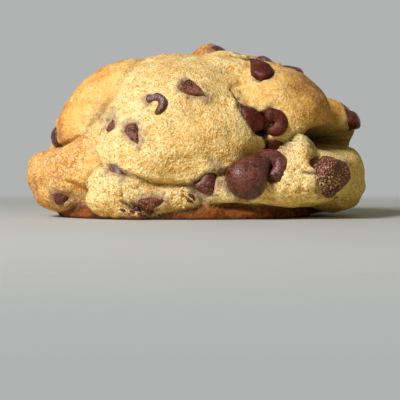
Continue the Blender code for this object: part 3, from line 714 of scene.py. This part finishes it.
def chocolate_skin():
    """The skin of set chocolate: satin brown, greyed by bloom in patches, with scuffs, dust and tiny pits."""
    inputs = {"Bloom": 0.3, "Dusting": 0.2}
    outputs = {"Color": 'NodeSocketColor', "Roughness": 'NodeSocketFloat', "Height": 'NodeSocketFloat'}
    tree, given, result = new_group("chocolate_skin", inputs, outputs)
    place = add_node(tree, 'ShaderNodeTexCoord').outputs["Object"]
    broad = speckle(tree, place, 3.0, 3.0)
    fine = speckle(tree, place, 0.9, 3.0, 0.65)
    dust = speckle(tree, place, 0.4, 3.0, 0.7)
    patches = spread(tree, broad, 0.3, 0.7)
    colour = blended(tree, patches, (0.054, 0.0045, 0.0015, 1.0), (0.112, 0.0145, 0.0056, 1.0))
    bloom = spread(tree, sum_of(tree, broad, fine, 'MULTIPLY'), 0.18, 0.34)
    bloom = sum_of(tree, given["Bloom"], bloom, 'MULTIPLY')
    colour = blended(tree, bloom, colour, (0.22, 0.075, 0.05, 1.0))
    crumb = sum_of(tree, given["Dusting"], spread(tree, dust, 0.54, 0.66), 'MULTIPLY')
    colour = blended(tree, crumb, colour, (0.66, 0.46, 0.30, 1.0))
    tree.links.new(colour, result["Color"])
    satin = spread(tree, fine, 0.3, 0.7, 0.22, 0.40)
    tree.links.new(sum_of(tree, satin, sum_of(tree, crumb, bloom), 'MAXIMUM'), result["Roughness"])
    tree.links.new(sum_of(tree, fine, sum_of(tree, dust, 0.35, 'MULTIPLY')), result["Height"])
    return tree


chocolate_group = chocolate_skin()


def chocolate_material(name, bloom, dusting, shine):
    """Set chocolate with a given bloom, dusting of crumbs and strength of its gloss."""
    material, look, shader = skinned_material(name, chocolate_group, 0.8, 0.3)
    look.inputs["Bloom"].default_value = bloom
    look.inputs["Dusting"].default_value = dusting
    shader.inputs["Specular IOR Level"].default_value = shine
    return material


# Whole chips are glossy, smeared ones are dull with bloom and one was torn; chips that lie in shade get a darker
# copy with no bloom, which is painted shade.
glossy_chocolate = chocolate_material("glossy_chocolate", 0.3, 0.3, 0.45)
bloomed_chocolate = chocolate_material("bloomed_chocolate", 0.8, 0.55, 0.22)
crumbed_chocolate = chocolate_material("crumbed_chocolate", 0.5, 1.0, 0.22)
painted_shade_chocolate = chocolate_material("painted_shade_chocolate", 0.0, 0.1, 0.22)
CHIP_FINISH = {
    "chip_right": crumbed_chocolate,
    "chip_low_middle": bloomed_chocolate,
    "chip_centre": bloomed_chocolate,
    "chip_covered": bloomed_chocolate,
    "chip_left": bloomed_chocolate,
    # The chips that lie in shade, in the darker copy: painted shade.
    "chip_shoulder": painted_shade_chocolate,
    "chip_shoulder_curl": painted_shade_chocolate,
    "chip_far_right": painted_shade_chocolate,
    "chip_seam_right": painted_shade_chocolate,
    "chip_ridge": painted_shade_chocolate,
}
DENTS = {"chip_right": 2.3}  # how dented a chip is, where it is not the usual

chip_surfaces = {}
for number, (name, chip) in enumerate(CHIPS.items()):
    columns, place, seat, outward = chip_frames[name]
    grid, base_end, tip_end = chip_grid(chip)
    strength = DENTS.get(name, 0.5 if chip.tail else 1.0)
    grid, ends = (soften(pressed(points @ columns.T + place, seat, outward, chip.stands) + slide,
                         30 + 10 * number, strength) for points in (grid, np.stack([base_end, tip_end])))
    chip_surfaces[name] = grid
    item = closed_grid("baked_" + name, grid, ends[:1], ends[1:])
    item.data.materials.append(CHIP_FINISH.get(name, glossy_chocolate))
    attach(item, "root")
    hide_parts(name)


# ---------------------------------------------------------------------------------------------------------
# Crumbs: bits of dough that broke off where the mound tore open, stuck again to its rough folds.
# ---------------------------------------------------------------------------------------------------------

CRUMB_COUNT = 90
CLINGING_COUNT = 230
CRUMB_ROWS = 4
CRUMB_SIDES = 6


def bit_meshes(name, places, sizes, stretch, flatness, outward, seed):
    """Many small rough lumps as one mesh: balls, stretched one way and squeezed along their seat's normal."""
    count = len(places)
    down = (np.pi * (np.arange(CRUMB_ROWS) + 1) / (CRUMB_ROWS + 1))[:, None]
    round_it = 2 * np.pi * np.arange(CRUMB_SIDES) / CRUMB_SIDES
    sides = np.sin(down) * np.cos(round_it), np.sin(down) * np.sin(round_it), np.cos(down)
    rings = np.stack(np.broadcast_arrays(*sides), axis=-1).reshape(-1, 3)
    ball = np.vstack([[0, 0, 1], rings, [0, 0, -1]])
    side = np.cross(outward, [0.3, 0.5, 0.81])
    side /= np.linalg.norm(side, axis=1, keepdims=True)
    other = np.cross(outward, side)
    axes = np.stack([side * stretch, other, outward * flatness], axis=1)
    shape = np.einsum('vi,nij->nvj', ball, axes)
    shape *= (1 + 0.45 * noise(shape * 1.3 + np.arange(count)[:, None, None] * 7.7, 1.0, seed))[..., None]
    points = (places[:, None, :] + shape * sizes[:, None, None]).reshape(-1, 3)
    index = 1 + np.arange(CRUMB_ROWS * CRUMB_SIDES).reshape(CRUMB_ROWS, CRUMB_SIDES)
    after = np.roll(index, -1, axis=1)
    quads = np.stack([index[:-1], index[1:], after[1:], after[:-1]], axis=-1).reshape(-1, 4)
    last = CRUMB_ROWS * CRUMB_SIDES + 1
    fans = [(0, a, b) for a, b in zip(index[0], after[0])]
    fans += [(last, b, a) for a, b in zip(index[-1], after[-1])]
    starts = np.arange(count)[:, None, None] * len(ball)
    faces = (quads[None] + starts).reshape(-1, 4).tolist()
    faces += (np.array(fans)[None] + starts).reshape(-1, 3).tolist()
    mesh = bpy.data.meshes.new(name)
    mesh.from_pydata((points * MM).tolist(), [], faces)
    mesh.shade_smooth()
    item = bpy.data.objects.new(name, mesh)
    bpy.context.collection.objects.link(item)
    return item


chance = np.random.default_rng(7)
rough_places = torn**2 * (1 - foot) * (skin[:, 2] > 1.2) * (skin[:, 2] < 24) * (chip_gap > 1.0)
chosen = chance.choice(len(skin), CRUMB_COUNT, replace=False, p=rough_places / rough_places.sum())
crumb_sizes = 0.16 + 0.40 * chance.random(CRUMB_COUNT) ** 2.5
crumb_places = finished[chosen] + normals[chosen] * crumb_sizes[:, None] * 0.1

loose_crumbs = bit_meshes("dough_crumbs", crumb_places, crumb_sizes, 1.3, 0.6, normals[chosen], 71)


def crumb_material(name, bake, stain):
    """Torn dough: rough all over, and more or less baked and stained with chocolate."""
    material, look, _ = skinned_material(name, skin_group, 0.6, 0.3)
    look.inputs["Bake"].default_value = bake
    look.inputs["Stain"].default_value = stain
    look.inputs["Crumbly"].default_value = 0.9
    return material


loose_crumbs.data.materials.append(crumb_material("torn_dough", 0.6, 0.25))
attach(loose_crumbs, "root")

# Finer ones, brown with chocolate, cling to the lower half of the right chip, which was torn open there.
torn_chip = chip_surfaces["chip_right"].reshape(-1, 3)
chip_middle = chip_frames["chip_right"][1] + slide
low_front = np.nonzero((torn_chip[:, 1] < chip_middle[1] - 1.5) & (torn_chip[:, 2] < chip_middle[2] + 0.6))[0]
clinging = torn_chip[chance.choice(low_front, CLINGING_COUNT)] + chance.normal(size=(CLINGING_COUNT, 3)) * 0.15
clinging_out = (clinging - chip_middle) / np.linalg.norm(clinging - chip_middle, axis=1, keepdims=True)
clinging_sizes = 0.08 + 0.17 * chance.random(CLINGING_COUNT) ** 2
clinging_crumbs = bit_meshes("clinging_crumbs", clinging, clinging_sizes, 1.4, 0.5, clinging_out, 75)
clinging_crumbs.data.materials.append(crumb_material("dusty_dough", 0.0, 0.95))
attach(clinging_crumbs, "root")


# ---------------------------------------------------------------------------------------------------------
# Melted flecks: chips that broke up in the mixing and melted into the cracks low on the front.
# ---------------------------------------------------------------------------------------------------------

# Where the flecks gather, as (x, z) on the shown side, with how many and how far they scatter.
FLECK_GROUPS = (((-15.0, 2.9), 16, 1.5), ((-12.2, 1.6), 10, 1.0), ((-8.8, 0.9), 6, 0.8), ((-4.2, 6.6), 4, 1.0),
                ((34.5, 5.2), 5, 1.6), ((-1.6, 5.4), 4, 0.8))

fleck_chance = np.random.default_rng(11)
front = np.nonzero(normals[:, 1] < -0.3)[0]
picked = []
for (x, z), count, scatter in FLECK_GROUPS:
    spots = np.array([x, z]) + fleck_chance.normal(size=(count, 2)) * scatter * (1, 0.5)
    gaps = np.linalg.norm(skin[front][:, None, [0, 2]] - spots[None], axis=2)
    picked.append(front[gaps.argmin(axis=0)])
picked = np.concatenate(picked)
fleck_sizes = 0.16 + 0.42 * fleck_chance.random(len(picked)) ** 2
flecks = bit_meshes("melted_flecks", finished[picked], fleck_sizes, 2.0, 0.5, normals[picked], 81)
flecks.data.materials.append(glossy_chocolate)
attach(flecks, "root")


# ---------------------------------------------------------------------------------------------------------
# The studio: a pale floor under a dim warm sky, one square soft lamp from the upper left in front, and a camera
# with a long lens almost level with the cookie.
# ---------------------------------------------------------------------------------------------------------

def seen_rays(tree):
    """1 for the rays that show the background: straight to the camera, in a gloss or through glass."""
    ray = add_node(tree, 'ShaderNodeLightPath').outputs
    mirrored = sum_of(tree, ray["Is Glossy Ray"], ray["Is Transmission Ray"], 'MAXIMUM')
    return sum_of(tree, ray["Is Camera Ray"], mirrored, 'MAXIMUM')


floor_mesh = bpy.data.meshes.new("floor")
floor_mesh.from_pydata([(-3, -3, 0), (3, -3, 0), (3, 3, 0), (-3, 3, 0)], [], [(0, 1, 2, 3)])
floor = bpy.data.objects.new("floor", floor_mesh)
floor.location.z = -0.02 * MM
bpy.context.collection.objects.link(floor)
floor_material = bpy.data.materials.new("pale_floor")
floor_material.use_nodes = True
floor_tree = floor_material.node_tree
floor_shader = floor_tree.nodes["Principled BSDF"]
floor_colour = blended(floor_tree, seen_rays(floor_tree), (0.60, 0.53, 0.26, 1.0), (0.50, 0.51, 0.515, 1.0))
floor_tree.links.new(floor_colour, floor_shader.inputs["Base Color"])
floor_place = add_node(floor_tree, 'ShaderNodeTexCoord').outputs["Object"]
floor_reach = add_node(floor_tree, 'ShaderNodeVectorMath', {0: floor_place}, operation='LENGTH').outputs[1]
floor_tree.links.new(spread(floor_tree, floor_reach, 0.09, 0.30, 1.0, 0.0), floor_shader.inputs["Alpha"])
floor_shader.inputs["Roughness"].default_value = 0.7
floor_mesh.materials.append(floor_material)

world = bpy.data.worlds.new("studio")
world.use_nodes = True
sky_tree = world.node_tree
sky = sky_tree.nodes["Background"]
sky_colour = blended(sky_tree, seen_rays(sky_tree), (0.150, 0.140, 0.050, 1.0), (0.44, 0.45, 0.45, 1.0))
sky_tree.links.new(sky_colour, sky.inputs["Color"])
sky.inputs["Strength"].default_value = 1.0
bpy.context.scene.world = world

KEY_PLACE = (-0.42, -0.48, 0.46)
KEY_AIM = (0.0, 0.0, 0.02)  # the middle of the cookie
lamp = bpy.data.lights.new("key", 'AREA')
lamp.size = 0.22
lamp.energy = 7.0
lamp.color = (1.0, 0.99, 1.0)
key = bpy.data.objects.new("key", lamp)
key.location = KEY_PLACE
aim = np.subtract(KEY_AIM, KEY_PLACE)
key.rotation_euler = (np.arctan2(np.hypot(aim[0], aim[1]), -aim[2]), 0.0, np.arctan2(aim[0], -aim[1]) + np.pi)
bpy.context.collection.objects.link(key)

EYE_DISTANCE = 380.0  # in millimetres, in front of where the cookie's middle stands
EYE_HEIGHT = 13.5
EYE_TILT = 1.4321  # degrees down
EYE_TURN = 0.1637  # degrees to the right
camera_data = bpy.data.cameras.new("camera")
camera_data.sensor_width = 36.0
camera_data.lens = 126.0
camera = bpy.data.objects.new("camera", camera_data)
camera.location = (slide[0] * MM, (slide[1] - EYE_DISTANCE) * MM, EYE_HEIGHT * MM)
camera.rotation_euler = (np.radians(90 - EYE_TILT), 0.0, -np.radians(EYE_TURN))
bpy.context.collection.objects.link(camera)
bpy.context.scene.camera = camera
bpy.context.scene.view_settings.view_transform = 'Standard'
